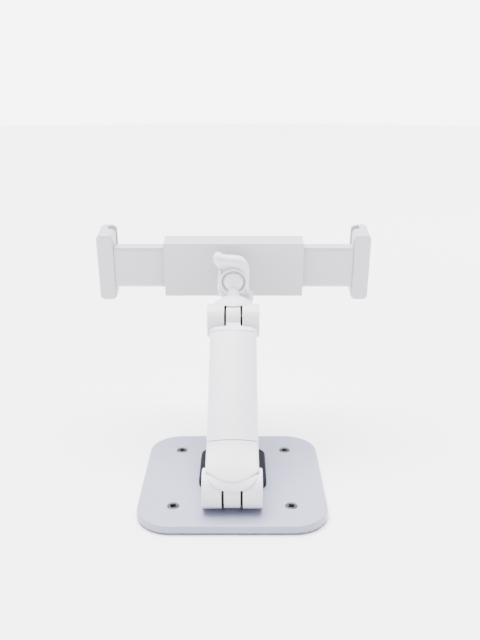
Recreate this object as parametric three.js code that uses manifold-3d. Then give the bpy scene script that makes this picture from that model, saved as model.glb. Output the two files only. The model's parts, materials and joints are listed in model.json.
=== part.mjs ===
// Tablet stand: weighted base, swivelling foot, tilting arm, ball head and telescopic clamp.
// Millimetres, +Z up. Origin at the centre of the base's underside. +Y is the user's side,
// which the screen faces, and -Y is the rear, where the arm is hinged to its foot.
import * as THREE from 'three';
import { mergeVertices } from 'three/addons/utils/BufferGeometryUtils.js';
import Module from 'manifold-3d';

const wasm = await Module();
wasm.setup();

// ---------- driving dimensions ----------
const GAP = 0.3; // clearance between pieces that touch or are fitted together
const FINE = 24; // sides of the large round pieces
const COARSE = 12; // sides of the small round pieces
const ROUND = 20; // sides of the ball and of what is turned around it

const BASE_WIDTH = 134;
const BASE_CORNER = 25;
const PAD_HEIGHT = 1;
const PLATE_HEIGHT = 5.4;
const PLATE_TOP = PAD_HEIGHT + PLATE_HEIGHT;
const SCREW_PITCH = 83;

const FOOT_WIDTH = 50;
const FOOT_REAR = -22;
const FOOT_FRONT = 36;
const GLIDE_HEIGHT = 0.6;
const FOOT_BOTTOM = PLATE_TOP + GLIDE_HEIGHT;
const FOOT_HEIGHT = 4.5;
const FOOT_TOP = FOOT_BOTTOM + FOOT_HEIGHT;

const BARREL_RADIUS = 13.5; // both hinges
const BARREL_WIDTH = 42;
const TONGUE_RADIUS = 13.2;
const TONGUE_WIDTH = 10.8;
const SLOT_WIDTH = 15.3;
const SWEEP_RADIUS = 14.1; // room cut around each hinge for the piece that turns in it
const PIVOT_BOLT_RADIUS = 3;

const LOWER_PIVOT = { y: -42, z: PLATE_TOP + BARREL_RADIUS + 0.4 };
const ARM_LENGTH = 138; // between the two hinges
const ARM_ANGLE = 40; // degrees above the table
const ARM_WIDTH = 37;
const ARM_CROWN = 13; // height of the bulged face over the line of the hinges
const ARM_SHOULDER = 10.2; // height of that face at its long edges
const ARM_UNDERSIDE = -10;
const ARM_WALL = 2.4;
const LOWER_SEAM = 30; // along the arm, from the lower hinge
const UPPER_SEAM = ARM_LENGTH - 17;

const STEM_ANGLE = 52; // of the ball stud above the table
const STEM_LENGTH = 35; // from the upper hinge to the ball's centre
const BALL_RADIUS = 8.4;

const CLAMP_LEAN = 12; // degrees that the clamp's top leans back
const SLEEVE_REAR = 20; // all in front of the ball's centre, square to the clamp
const SLEEVE_DEPTH = 18;
const SLEEVE_LENGTH = 119;
const SLEEVE_HEIGHT = 49.5;
const SLEEVE_WALL = 2;

const SLIDER_HEIGHT = 37.5;
const SLIDER_REAR = SLEEVE_REAR + 4.8;
const SLIDER_DEPTH = 10.4;
const SLIDER_INNER_END = 47; // from the middle, in the open clamp
const SLIDER_OUTER_END = 110;
const RACK_DEPTH = 4.8;
const RACK_REAR = SLIDER_REAR + (SLIDER_DEPTH - RACK_DEPTH) / 2;
const RACK_TIP = 10; // how far each rack passes the middle
const PINION_TEETH = 13;
const TOOTH_MODULE = 1;
const PINION_RADIUS = PINION_TEETH * TOOTH_MODULE / 2;

const TABLET_HALF_WIDTH = 107.5;
const TABLET_REAR = 39.9;
const TABLET_SPACE = 7.2;
const GRIP_OUTER = 117;
const GRIP_INNER = 102.5;
const GRIP_REAR = SLEEVE_REAR + 3.6;
const GRIP_FRONT = 51;
const GRIP_HEIGHT = 61;

// ---------- materials ----------
function material(color, roughness, metalness) {
  return new THREE.MeshStandardMaterial({ color, roughness, metalness });
}

const whiteCoat = material(0xdfdfe6, 0.45, 0.1);
const whitePlastic = material(0xeaeaee, 0.4, 0);
const clampPlastic = material(0xd8d8dc, 0.5, 0);
const darkPlastic = material(0x4a4d59, 0.6, 0);
const rubber = material(0x2b2b2e, 0.9, 0);
const steel = material(0x9a9a9c, 0.35, 0.9);

// ---------- solids ----------
// A closed geometry as a solid that can be joined and cut.
function solid(geometry) {
  const bare = geometry.clone();
  bare.deleteAttribute('normal');
  bare.deleteAttribute('uv');
  const merged = mergeVertices(bare, 1e-4);
  return new wasm.Manifold(new wasm.Mesh({
    numProp: 3,
    vertProperties: new Float32Array(merged.attributes.position.array),
    triVerts: new Uint32Array(merged.index.array),
  }));
}

function mesh(name, shape, look) {
  const { vertProperties, triVerts } = shape.getMesh();
  const geometry = new THREE.BufferGeometry();
  geometry.setAttribute('position', new THREE.BufferAttribute(new Float32Array(vertProperties), 3));
  geometry.setIndex(new THREE.BufferAttribute(new Uint32Array(triVerts), 1));
  geometry.computeVertexNormals();
  const piece = new THREE.Mesh(geometry, look);
  piece.name = name;
  return piece;
}

// A box between two corners.
function box(x0, x1, y0, y1, z0, z1) {
  const geometry = new THREE.BoxGeometry(x1 - x0, y1 - y0, z1 - z0);
  geometry.translate((x0 + x1) / 2, (y0 + y1) / 2, (z0 + z1) / 2);
  return solid(geometry);
}

// A cylinder along X, Y or Z from one coordinate to another.
function rod(axis, radius, from, to, sides = COARSE, endRadius = radius) {
  const geometry = new THREE.CylinderGeometry(endRadius, radius, to - from, sides);
  geometry.translate(0, (from + to) / 2, 0);
  if (axis === 'x') geometry.rotateZ(-Math.PI / 2);
  if (axis === 'z') geometry.rotateX(Math.PI / 2);
  return solid(geometry);
}

function rectangle(width, height, corner) {
  const x = width / 2;
  const y = height / 2;
  const shape = new THREE.Shape();
  shape.moveTo(-x + corner, -y);
  shape.absarc(x - corner, -y + corner, corner, -Math.PI / 2, 0, false);
  shape.absarc(x - corner, y - corner, corner, 0, Math.PI / 2, false);
  shape.absarc(-x + corner, y - corner, corner, Math.PI / 2, Math.PI, false);
  shape.absarc(-x + corner, -y + corner, corner, Math.PI, 1.5 * Math.PI, false);
  return shape;
}

// A shape raised along Z, with its top and bottom edges chamfered.
function raised(shape, height, chamfer, curveSegments = 6) {
  const geometry = new THREE.ExtrudeGeometry(shape, {
    depth: height - 2 * chamfer,
    bevelEnabled: chamfer > 0,
    bevelThickness: chamfer,
    bevelSize: chamfer,
    bevelOffset: -chamfer,
    bevelSegments: 1,
    curveSegments,
  });
  geometry.translate(0, 0, chamfer);
  return geometry;
}

// A shape drawn in X and Z, raised along Y from one coordinate to another.
function alongY(shape, from, to, chamfer = 0, curveSegments = 6) {
  const geometry = raised(shape, to - from, chamfer, curveSegments);
  geometry.rotateX(Math.PI / 2);
  geometry.translate(0, to, 0);
  return solid(geometry);
}

// A shape drawn in Y and Z, raised along X about the middle.
function alongX(shape, width, chamfer = 0, curveSegments = 6) {
  const geometry = raised(shape, width, chamfer, curveSegments);
  geometry.rotateY(Math.PI / 2);
  geometry.rotateX(Math.PI / 2);
  geometry.translate(-width / 2, 0, 0);
  return solid(geometry);
}

// A profile of [radius, height] points turned about Y.
function turned(profile, sides = COARSE) {
  const points = profile.map(([radius, height]) => new THREE.Vector2(radius, height));
  return solid(new THREE.LatheGeometry(points, sides));
}

// The same, turned about Z.
function turnedZ(profile, sides = COARSE) {
  return turned(profile, sides).rotate([90, 0, 0]);
}

function hexagon(acrossFlats) {
  const shape = new THREE.Shape();
  const radius = acrossFlats / Math.sqrt(3);
  for (let side = 0; side < 6; side += 1) {
    const angle = side * Math.PI / 3;
    const point = [radius * Math.cos(angle), radius * Math.sin(angle)];
    if (side === 0) shape.moveTo(...point);
    else shape.lineTo(...point);
  }
  return shape;
}

// ---------- base ----------
// A countersunk screw with its head's top at height zero, pointing down.
function countersunkScrew(length, cross) {
  const screw = turnedZ([[0, -length], [2.1, -length], [2.1, -2.6], [4.2, -0.4], [4.2, -0.1], [0, -0.1]]);
  const slot = box(-2.4, 2.4, -cross, cross, -1.3, 1);
  return screw.subtract(slot).subtract(slot.rotate([0, 0, 90]));
}

function basePlate() {
  let plate = solid(raised(rectangle(BASE_WIDTH, BASE_WIDTH, BASE_CORNER), PLATE_HEIGHT, 1.1, 8));
  plate = plate.translate([0, 0, PAD_HEIGHT]);
  const hole = turnedZ([[0, -9], [2.3, -9], [2.3, -2.6], [4.5, -0.4], [4.5, 1], [0, 1]]);
  for (const [x, y] of corners(SCREW_PITCH / 2)) {
    plate = plate.subtract(hole.translate([x, y, PLATE_TOP]));
  }
  const boltHole = rod('z', 3.2, 0, PLATE_TOP + 1);
  const nutPocket = rod('z', 7, 0, PAD_HEIGHT + 3.5);
  return plate.subtract(boltHole).subtract(nutPocket);
}

function basePad() {
  return solid(raised(rectangle(BASE_WIDTH - 4, BASE_WIDTH - 4, BASE_CORNER - 2), PAD_HEIGHT, 0, 6));
}

function corners(reach) {
  return [[-reach, reach], [reach, reach], [-reach, -reach], [reach, -reach]];
}

const base = new THREE.Group();
base.add(mesh('base_plate', basePlate(), whiteCoat));
base.add(mesh('base_pad', basePad(), rubber));
const screwNames = ['front_left', 'front_right', 'rear_left', 'rear_right'];
corners(SCREW_PITCH / 2).forEach(([x, y], index) => {
  const screw = mesh(`base_screw_${screwNames[index]}`, countersunkScrew(4.6, 0.5), steel);
  screw.position.set(x, y, PLATE_TOP);
  base.add(screw);
});

const SWIVEL_BOLT = [[0, 1.4], [2.9, 1.4], [2.9, FOOT_TOP - 3.4], [5.8, FOOT_TOP - 0.6],
  [5.8, FOOT_TOP - 0.2], [0, FOOT_TOP - 0.2]];
const SWIVEL_SEAT = [[0, 5], [3.2, 5], [3.2, FOOT_TOP - 3.2], [6.1, FOOT_TOP - 0.5],
  [6.1, FOOT_TOP + 1], [0, FOOT_TOP + 1]];
const hexKey = solid(raised(hexagon(4), 3, 0)).translate([0, 0, FOOT_TOP - 2.4]);
base.add(mesh('swivel_bolt', turnedZ(SWIVEL_BOLT).subtract(hexKey), steel));
const swivelNut = solid(raised(hexagon(10), 3, 0)).translate([0, 0, PAD_HEIGHT + 0.3]);
base.add(mesh('swivel_nut', swivelNut.subtract(rod('z', 3.1, 0, 9)), steel));

// ---------- swivelling foot with the lower hinge's two lugs ----------
const turntable = new THREE.Group();
const FOOT_SCREW_Y = -15;
const NECK_HEIGHT = 4;

function swivelFoot() {
  const length = FOOT_FRONT - FOOT_REAR;
  let foot = solid(raised(rectangle(FOOT_WIDTH, length, 10), FOOT_HEIGHT, 0.8));
  foot = foot.translate([0, (FOOT_FRONT + FOOT_REAR) / 2, FOOT_BOTTOM]);
  for (const x of [-10, 10]) {
    foot = foot.subtract(rod('z', 1.9, 0, 20, 12).translate([x, FOOT_SCREW_Y, 0]));
  }
  return foot.subtract(turnedZ(SWIVEL_SEAT));
}

// Room for the tongue that turns between the two lugs of a hinge.
function tongueRoom() {
  return rod('x', SWEEP_RADIUS, -SLOT_WIDTH / 2, SLOT_WIDTH / 2, FINE);
}

// A barrel along X with a hole for the hinge bolt and a pocket for its head and its nut.
function barrel() {
  const shape = new THREE.Shape().absarc(0, 0, BARREL_RADIUS, 0, 2 * Math.PI, false);
  return alongX(shape, BARREL_WIDTH, 0.8, FINE);
}

function hingeBore() {
  const half = BARREL_WIDTH / 2;
  const bore = rod('x', PIVOT_BOLT_RADIUS + GAP, -half - 1, half + 1);
  return bore.add(rod('x', 6.2, -half - 1, -half + 5)).add(rod('x', 6.8, half - 5, half + 1));
}

function baseKnuckle() {
  const neckTop = FOOT_TOP + 0.1 + NECK_HEIGHT - LOWER_PIVOT.z;
  const neck = box(-16, 16, -2, LOWER_PIVOT.y * -1 - 6, FOOT_TOP + 0.1 - LOWER_PIVOT.z, neckTop);
  let knuckle = barrel().add(neck).subtract(tongueRoom()).subtract(hingeBore());
  const screwY = FOOT_SCREW_Y - LOWER_PIVOT.y;
  for (const x of [-10, 10]) {
    knuckle = knuckle.subtract(rod('z', 2.3, -20, 20, 12).translate([x, screwY, 0]));
    knuckle = knuckle.subtract(rod('z', 4, neckTop - 2.2, 20, 16).translate([x, screwY, 0]));
  }
  return knuckle;
}

// A pan-head screw with the underside of its head at height zero, pointing down.
function panScrew(length, radius, headRadius, headHeight) {
  const screw = turnedZ([[0, -length], [radius, -length], [radius, 0], [headRadius, 0],
    [headRadius, headHeight * 0.6], [headRadius * 0.7, headHeight], [0, headHeight]], 10);
  const slot = box(-headRadius * 0.6, headRadius * 0.6, -0.4, 0.4, headHeight * 0.4, headHeight + 1);
  return screw.subtract(slot).subtract(slot.rotate([0, 0, 90]));
}

const glide = rod('z', 20, PLATE_TOP + 0.05, FOOT_BOTTOM - 0.05, FINE).subtract(rod('z', 3.4, 0, 20));
turntable.add(mesh('swivel_glide', glide, rubber));
turntable.add(mesh('swivel_foot', swivelFoot(), darkPlastic));
const knuckle = mesh('base_knuckle', baseKnuckle(), whitePlastic);
knuckle.position.set(0, LOWER_PIVOT.y, LOWER_PIVOT.z);
turntable.add(knuckle);
for (const [side, x] of [['left', -10], ['right', 10]]) {
  const screw = mesh(`foot_screw_${side}`, panScrew(5.9, 1.7, 3.6, 2), steel);
  screw.position.set(x, FOOT_SCREW_Y, FOOT_TOP + 0.1 + NECK_HEIGHT - 2.1);
  turntable.add(screw);
}

// ---------- hinge hardware, the same at both ends of the arm ----------
function hingeBolt() {
  const half = BARREL_WIDTH / 2;
  const shank = rod('x', PIVOT_BOLT_RADIUS, -half + 4.8, half - 0.8);
  const bolt = rod('x', 5, -half + 0.8, -half + 4.8).add(shank);
  const key = raised(hexagon(5), 4, 0);
  key.rotateY(Math.PI / 2);
  key.translate(-half - 0.5, 0, 0);
  return bolt.subtract(solid(key));
}

function hingeNut() {
  const half = BARREL_WIDTH / 2;
  const nut = raised(hexagon(10), 3.6, 0);
  nut.rotateY(Math.PI / 2);
  nut.translate(half - 4.8, 0, 0);
  return solid(nut).subtract(rod('x', PIVOT_BOLT_RADIUS + 0.1, 0, half + 1));
}

function hingeWasher(side) {
  const inner = TONGUE_WIDTH / 2 + 0.2;
  const outer = SLOT_WIDTH / 2 - 0.2;
  const [from, to] = side < 0 ? [-outer, -inner] : [inner, outer];
  return rod('x', 11.4, from, to, FINE).subtract(rod('x', PIVOT_BOLT_RADIUS + 0.2, from - 1, to + 1));
}

function hingeHardware(label) {
  const hardware = new THREE.Group();
  hardware.add(mesh(`${label}_hinge_bolt`, hingeBolt(), steel));
  hardware.add(mesh(`${label}_hinge_nut`, hingeNut(), steel));
  hardware.add(mesh(`${label}_hinge_washer_left`, hingeWasher(-1), rubber));
  hardware.add(mesh(`${label}_hinge_washer_right`, hingeWasher(1), rubber));
  return hardware;
}

const lowerHinge = hingeHardware('lower');
lowerHinge.position.set(0, LOWER_PIVOT.y, LOWER_PIVOT.z);
turntable.add(lowerHinge);

// ---------- arm: y runs along it from the lower hinge, z out of its bulged rear face ----------
// The arm's cross-section in X and Z, moved inwards by inset.
function armSection(inset) {
  const x = ARM_WIDTH / 2 - inset;
  const low = ARM_UNDERSIDE + inset;
  const shoulder = ARM_SHOULDER - inset;
  const corner = 3 - inset * 0.8;
  const shape = new THREE.Shape();
  shape.moveTo(-x + corner, low);
  shape.absarc(x - corner, low + corner, corner, -Math.PI / 2, 0, false);
  shape.lineTo(x, shoulder - corner);
  shape.quadraticCurveTo(x, shoulder, x - corner, shoulder + 0.5);
  shape.quadraticCurveTo(0, 2 * (ARM_CROWN - inset) - shoulder - 0.5, -x + corner, shoulder + 0.5);
  shape.quadraticCurveTo(-x, shoulder, -x, shoulder - corner);
  shape.absarc(-x + corner, low + corner, corner, Math.PI, 1.5 * Math.PI, false);
  return shape;
}

const ARM_SCREW_X = 10;
const armScrewHole = rod('z', 1.9, -20, 0, 12);

function armTube() {
  const from = LOWER_SEAM + GAP / 2;
  const to = UPPER_SEAM - GAP / 2;
  let tube = armBlock(0, from, to).subtract(armBlock(ARM_WALL, from - 1, to + 1));
  for (const y of [LOWER_SEAM + 5, UPPER_SEAM - 5]) {
    for (const x of [-ARM_SCREW_X, ARM_SCREW_X]) {
      tube = tube.subtract(armScrewHole.translate([x, y, 0]));
    }
  }
  return tube;
}

// The arm's section between two distances along the arm.
function armBlock(inset, from, to) {
  const geometry = new THREE.ExtrudeGeometry(armSection(inset), {
    depth: to - from, bevelEnabled: false, curveSegments: 5,
  });
  // page up becomes Z, and the depth runs back along -Y
  geometry.rotateX(Math.PI / 2);
  geometry.translate(0, to, 0);
  return solid(geometry);
}

// The tongue of the arm between a hinge's lugs, with its stalk towards the arm.
function tongue(stalkFrom, stalkTo) {
  const shape = new THREE.Shape().absarc(0, 0, TONGUE_RADIUS, 0, 2 * Math.PI, false);
  const half = TONGUE_WIDTH / 2;
  const stalk = box(-half, half, stalkFrom, stalkTo, ARM_UNDERSIDE + 1, ARM_SHOULDER);
  return alongX(shape, TONGUE_WIDTH, 0.4, FINE).add(stalk);
}

function armScrewHoles(shape, y) {
  let result = shape;
  for (const x of [-ARM_SCREW_X, ARM_SCREW_X]) {
    result = result.subtract(rod('z', 1.5, -20, ARM_UNDERSIDE + 9, 12).translate([x, y, 0]));
  }
  return result;
}

// A hood over the lower hinge's barrel, ending in a rounded edge, a thin skirt that comes out from
// under it, and a spigot inside the arm.
const HOOD_RADIUS = 15.2;
const SKIRT_OUTER = 14.5;
const SKIRT_INNER = 13.85;

// The plan of a rounded end: straight sides down to one distance, the middle down to another.
function roundedEnd(half, sideY, middleY) {
  const outline = new THREE.Shape();
  outline.moveTo(-half, LOWER_SEAM);
  outline.lineTo(-half, sideY);
  outline.quadraticCurveTo(-half * 0.7, middleY, 0, middleY);
  outline.quadraticCurveTo(half * 0.7, middleY, half, sideY);
  outline.lineTo(half, LOWER_SEAM);
  return solid(raised(outline, 20, 0, 8));
}

function skirt() {
  const half = ARM_WIDTH / 2 - 1.5;
  const inside = rod('x', SKIRT_INNER, -half - 1, half + 1, FINE);
  const shell = rod('x', SKIRT_OUTER, -half, half, FINE).subtract(inside);
  return shell.intersect(roundedEnd(half, 3, -7.4)).subtract(box(-half, half, 8, 20, -20, 20));
}

function armLowerEnd() {
  const inner = rod('x', SWEEP_RADIUS, -ARM_WIDTH, ARM_WIDTH, FINE);
  const block = armBlock(0, 0, LOWER_SEAM - GAP / 2);
  const hoodRound = rod('x', HOOD_RADIUS, -ARM_WIDTH / 2, ARM_WIDTH / 2, FINE);
  const hoodRamp = alongX(new THREE.Shape([
    new THREE.Vector2(-2, 0), new THREE.Vector2(LOWER_SEAM - 0.3, 0),
    new THREE.Vector2(LOWER_SEAM - 0.3, ARM_CROWN), new THREE.Vector2(4, HOOD_RADIUS),
    new THREE.Vector2(-2, HOOD_RADIUS),
  ]), ARM_WIDTH);
  const crownSpace = armBlock(-2.2, -20, LOWER_SEAM - 0.2);
  const half = ARM_WIDTH / 2;
  const roof = hoodRound.add(hoodRamp).intersect(crownSpace).intersect(roundedEnd(half, 7, -1.2));
  const underside = box(-half, half, -20, 12, -30, 6);
  let end = block.add(roof).subtract(inner).subtract(underside);
  end = end.add(skirt()).add(tongue(0, LOWER_SEAM - 4));
  const spigot = armBlock(ARM_WALL + GAP, LOWER_SEAM - 2, LOWER_SEAM + 10);
  end = end.add(spigot).subtract(rod('x', PIVOT_BOLT_RADIUS + GAP, -20, 20));
  return armScrewHoles(end, LOWER_SEAM + 5);
}

function armUpperEnd() {
  const room = rod('x', SWEEP_RADIUS, -ARM_WIDTH, ARM_WIDTH, FINE);
  const start = UPPER_SEAM + GAP / 2 - ARM_LENGTH;
  const slope = new THREE.Shape();
  slope.moveTo(start - 1, ARM_CROWN + 0.3);
  slope.lineTo(-8, 8.4);
  slope.lineTo(0, 8.4);
  slope.lineTo(0, 30);
  slope.lineTo(start - 1, 30);
  const cut = alongX(slope, ARM_WIDTH + 2);
  let end = armBlock(0, start, -7).subtract(cut).subtract(room);
  end = end.add(tongue(start + 4, 0));
  const spigot = armBlock(ARM_WALL + GAP, start - 10, start + 2);
  end = end.add(spigot).subtract(rod('x', PIVOT_BOLT_RADIUS + GAP, -20, 20));
  return armScrewHoles(end, start - 5);
}

const arm = new THREE.Group();
arm.position.set(0, LOWER_PIVOT.y, LOWER_PIVOT.z);
arm.rotation.x = THREE.MathUtils.degToRad(ARM_ANGLE);
arm.add(mesh('arm_tube', armTube(), whiteCoat));
arm.add(mesh('arm_lower_end', armLowerEnd(), whitePlastic));
const upperEnd = mesh('arm_upper_end', armUpperEnd(), whitePlastic);
upperEnd.position.y = ARM_LENGTH;
arm.add(upperEnd);
for (const [label, y] of [['lower', LOWER_SEAM + 5], ['upper', UPPER_SEAM - 5]]) {
  for (const [side, x] of [['left', -ARM_SCREW_X], ['right', ARM_SCREW_X]]) {
    const screw = mesh(`arm_screw_${label}_${side}`, panScrew(7, 1.3, 2.9, 1.5), steel);
    screw.rotation.x = Math.PI;
    screw.position.set(x, y, ARM_UNDERSIDE - 0.1);
    arm.add(screw);
  }
}

// ---------- head: y runs along the ball stud from the upper hinge ----------
const upperPivot = {
  y: LOWER_PIVOT.y + ARM_LENGTH * Math.cos(arm.rotation.x),
  z: LOWER_PIVOT.z + ARM_LENGTH * Math.sin(arm.rotation.x),
};
const DOME_THICKNESS = 12.6;

function headYoke() {
  const dome = new THREE.SphereGeometry(1, 24, 14);
  dome.rotateX(Math.PI / 2);
  dome.scale(BARREL_WIDTH / 2 - 0.3, BARREL_WIDTH / 2, DOME_THICKNESS);
  const upper = solid(dome).subtract(box(-30, 30, -30, 0, -30, 30));
  const bore = rod('y', 3.3, 5, 30);
  return barrel().add(upper).subtract(tongueRoom()).subtract(hingeBore()).subtract(bore);
}

function ballStud() {
  const points = [[0, 14.8], [3, 14.8], [3, 21.3], [5.4, 21.4], [4.9, 24.5], [4.3, 27.4]];
  const neckAngle = Math.asin(4.2 / BALL_RADIUS);
  const steps = 8;
  for (let step = 0; step <= steps; step += 1) {
    const angle = neckAngle + (Math.PI - neckAngle) * step / steps;
    points.push([BALL_RADIUS * Math.sin(angle), STEM_LENGTH - BALL_RADIUS * Math.cos(angle)]);
  }
  points[points.length - 1][0] = 0;
  return turned(points, ROUND);
}

const head = new THREE.Group();
head.position.set(0, upperPivot.y, upperPivot.z);
head.rotation.x = THREE.MathUtils.degToRad(STEM_ANGLE);
head.add(mesh('head_yoke', headYoke(), whitePlastic));
head.add(hingeHardware('upper'));
head.add(mesh('ball_stud', ballStud(), whitePlastic));

// ---------- holder: y runs from the ball's centre square through the clamp, z up it ----------
const holder = new THREE.Group();
holder.position.set(
  0,
  upperPivot.y + STEM_LENGTH * Math.cos(head.rotation.x),
  upperPivot.z + STEM_LENGTH * Math.sin(head.rotation.x),
);
holder.rotation.x = THREE.MathUtils.degToRad(CLAMP_LEAN);

const CUP_WALL = 0.5;
const LINER_INNER = BALL_RADIUS + GAP;
const CUP_INNER = LINER_INNER + CUP_WALL + GAP;
const SOCKET_CAVITY = CUP_INNER + CUP_WALL + GAP;
const THREAD_RADIUS = SOCKET_CAVITY + 1;
const BOSS_RADIUS = 12.8;
const NUT_OPENING = 9.5;

// A thin cup around the ball, open at the rear from the given angle to the rear axis.
function cup(innerRadius, openAngle) {
  const steps = 6;
  const start = THREE.MathUtils.degToRad(openAngle);
  const points = [];
  const arc = (radius, reverse) => {
    for (let step = 0; step <= steps; step += 1) {
      const share = reverse ? 1 - step / steps : step / steps;
      const angle = start + (Math.PI - start) * share;
      points.push([share === 1 ? 0 : radius * Math.sin(angle), -radius * Math.cos(angle)]);
    }
  };
  arc(innerRadius + CUP_WALL, false);
  arc(innerRadius, true);
  points.push(points[0]);
  return turned(points, ROUND);
}

holder.add(mesh('ball_liner', cup(LINER_INNER, 74), clampPlastic));
holder.add(mesh('ball_cup', cup(CUP_INNER, 84), clampPlastic));

function socketHousing() {
  const boss = rod('y', BOSS_RADIUS, 10.4, SLEEVE_REAR - GAP, ROUND);
  const outside = rod('y', THREAD_RADIUS, 0.4, 12, ROUND).add(boss);
  const cavity = solid(new THREE.SphereGeometry(SOCKET_CAVITY, ROUND, 10));
  const mouth = rod('y', SOCKET_CAVITY, -5, 0.6, ROUND);
  return outside.subtract(cavity).subtract(mouth).subtract(rod('y', 1.9, 13.5, 30));
}

holder.add(mesh('socket_housing', socketHousing(), whitePlastic));

// The wing nut's outline is one sweep from its right side over the top to the left tip,
// and the same again half a turn on.
function wingOutline() {
  const shape = new THREE.Shape();
  shape.moveTo(12.6, -2);
  for (const side of [1, -1]) {
    shape.lineTo(12.6 * side, 10 * side);
    shape.quadraticCurveTo(12.6 * side, 20.5 * side, 3 * side, 21.4 * side);
    shape.lineTo(-8 * side, 22.2 * side);
    shape.quadraticCurveTo(-12 * side, 25.8 * side, -15.4 * side, 23.4 * side);
    shape.quadraticCurveTo(-18.6 * side, 19.6 * side, -16 * side, 14.6 * side);
    shape.quadraticCurveTo(-13 * side, 11 * side, -12.6 * side, 2 * side);
  }
  return shape;
}

function wingNut() {
  const ring = rod('y', BOSS_RADIUS, -3, 9.8, ROUND);
  const wings = alongY(wingOutline(), 1.6, 8.6, 1.2, 5);
  const opening = rod('y', NUT_OPENING, -4, 0, ROUND);
  const thread = rod('y', THREAD_RADIUS + GAP, -1.4, 20, ROUND);
  return ring.add(wings).subtract(opening).subtract(thread);
}

holder.add(mesh('wing_nut', wingNut(), whitePlastic));

const SLEEVE_FRONT = SLEEVE_REAR + SLEEVE_DEPTH;
const halfLength = SLEEVE_LENGTH / 2;
const halfHeight = SLEEVE_HEIGHT / 2;

function sleeve() {
  const outer = box(-halfLength, halfLength, SLEEVE_REAR, SLEEVE_FRONT, -halfHeight, halfHeight);
  const inner = box(-halfLength - 1, halfLength + 1, SLEEVE_REAR + SLEEVE_WALL, SLEEVE_FRONT - SLEEVE_WALL,
    -halfHeight + SLEEVE_WALL, halfHeight - SLEEVE_WALL);
  return outer.subtract(inner).subtract(rod('y', 2.3, 0, SLEEVE_REAR + SLEEVE_WALL + 1));
}

holder.add(mesh('sleeve', sleeve(), clampPlastic));

const housingScrew = panScrew(8, 1.7, 4, 2.1).rotate([-90, 0, 0]);
const housingScrewMesh = mesh('housing_screw', housingScrew, steel);
housingScrewMesh.position.y = SLEEVE_REAR + SLEEVE_WALL + 0.1;
holder.add(housingScrewMesh);

const AXLE_RADIUS = 1.8;
const axle = rod('y', AXLE_RADIUS, SLEEVE_REAR + SLEEVE_WALL + 2.5, SLEEVE_FRONT - SLEEVE_WALL - GAP);
holder.add(mesh('pinion_axle', axle, steel));

for (const [label, side] of [['upper', 1], ['lower', -1]]) {
  const edges = [SLIDER_HEIGHT / 2 + GAP, halfHeight - SLEEVE_WALL - GAP].map((z) => z * side);
  const rail = box(-halfLength + 2, halfLength - 2,
    SLEEVE_REAR + SLEEVE_WALL + GAP, SLEEVE_FRONT - SLEEVE_WALL - GAP,
    Math.min(...edges), Math.max(...edges));
  holder.add(mesh(`guide_rail_${label}`, rail, darkPlastic));
  const pad = alongY(rectangle(96, 9, 3), SLEEVE_FRONT + 0.1, TABLET_REAR - 0.4);
  const padMesh = mesh(`front_pad_${label}`, pad, rubber);
  padMesh.position.z = 15 * side;
  holder.add(padMesh);
}

// ---------- pinion and the two sliders, each with its rack, grip and pad ----------
const TOOTH_PITCH = Math.PI * TOOTH_MODULE;
const TOOTH_HALF_HEIGHT = 0.8;
const TOOTH_ROOT = 0.85; // half widths
const TOOTH_TIP = 0.3;

function pinion() {
  const shape = new THREE.Shape();
  const root = PINION_RADIUS - TOOTH_HALF_HEIGHT - 0.3;
  const tip = PINION_RADIUS + TOOTH_HALF_HEIGHT;
  for (let tooth = 0; tooth < PINION_TEETH; tooth += 1) {
    const middle = Math.PI / 2 + tooth * 2 * Math.PI / PINION_TEETH;
    const flanks = [[root, -TOOTH_ROOT], [tip, -TOOTH_TIP], [tip, TOOTH_TIP], [root, TOOTH_ROOT]];
    for (const [radius, width] of flanks) {
      const angle = middle + width / radius;
      const point = [radius * Math.cos(angle), radius * Math.sin(angle)];
      if (tooth === 0 && width === -TOOTH_ROOT) shape.moveTo(...point);
      else shape.lineTo(...point);
    }
  }
  const wheel = alongY(shape, RACK_REAR + 0.2, RACK_REAR + RACK_DEPTH - 0.2);
  return wheel.subtract(rod('y', AXLE_RADIUS + 0.2, 0, 60));
}

holder.add(mesh('pinion', pinion(), darkPlastic));

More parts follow.
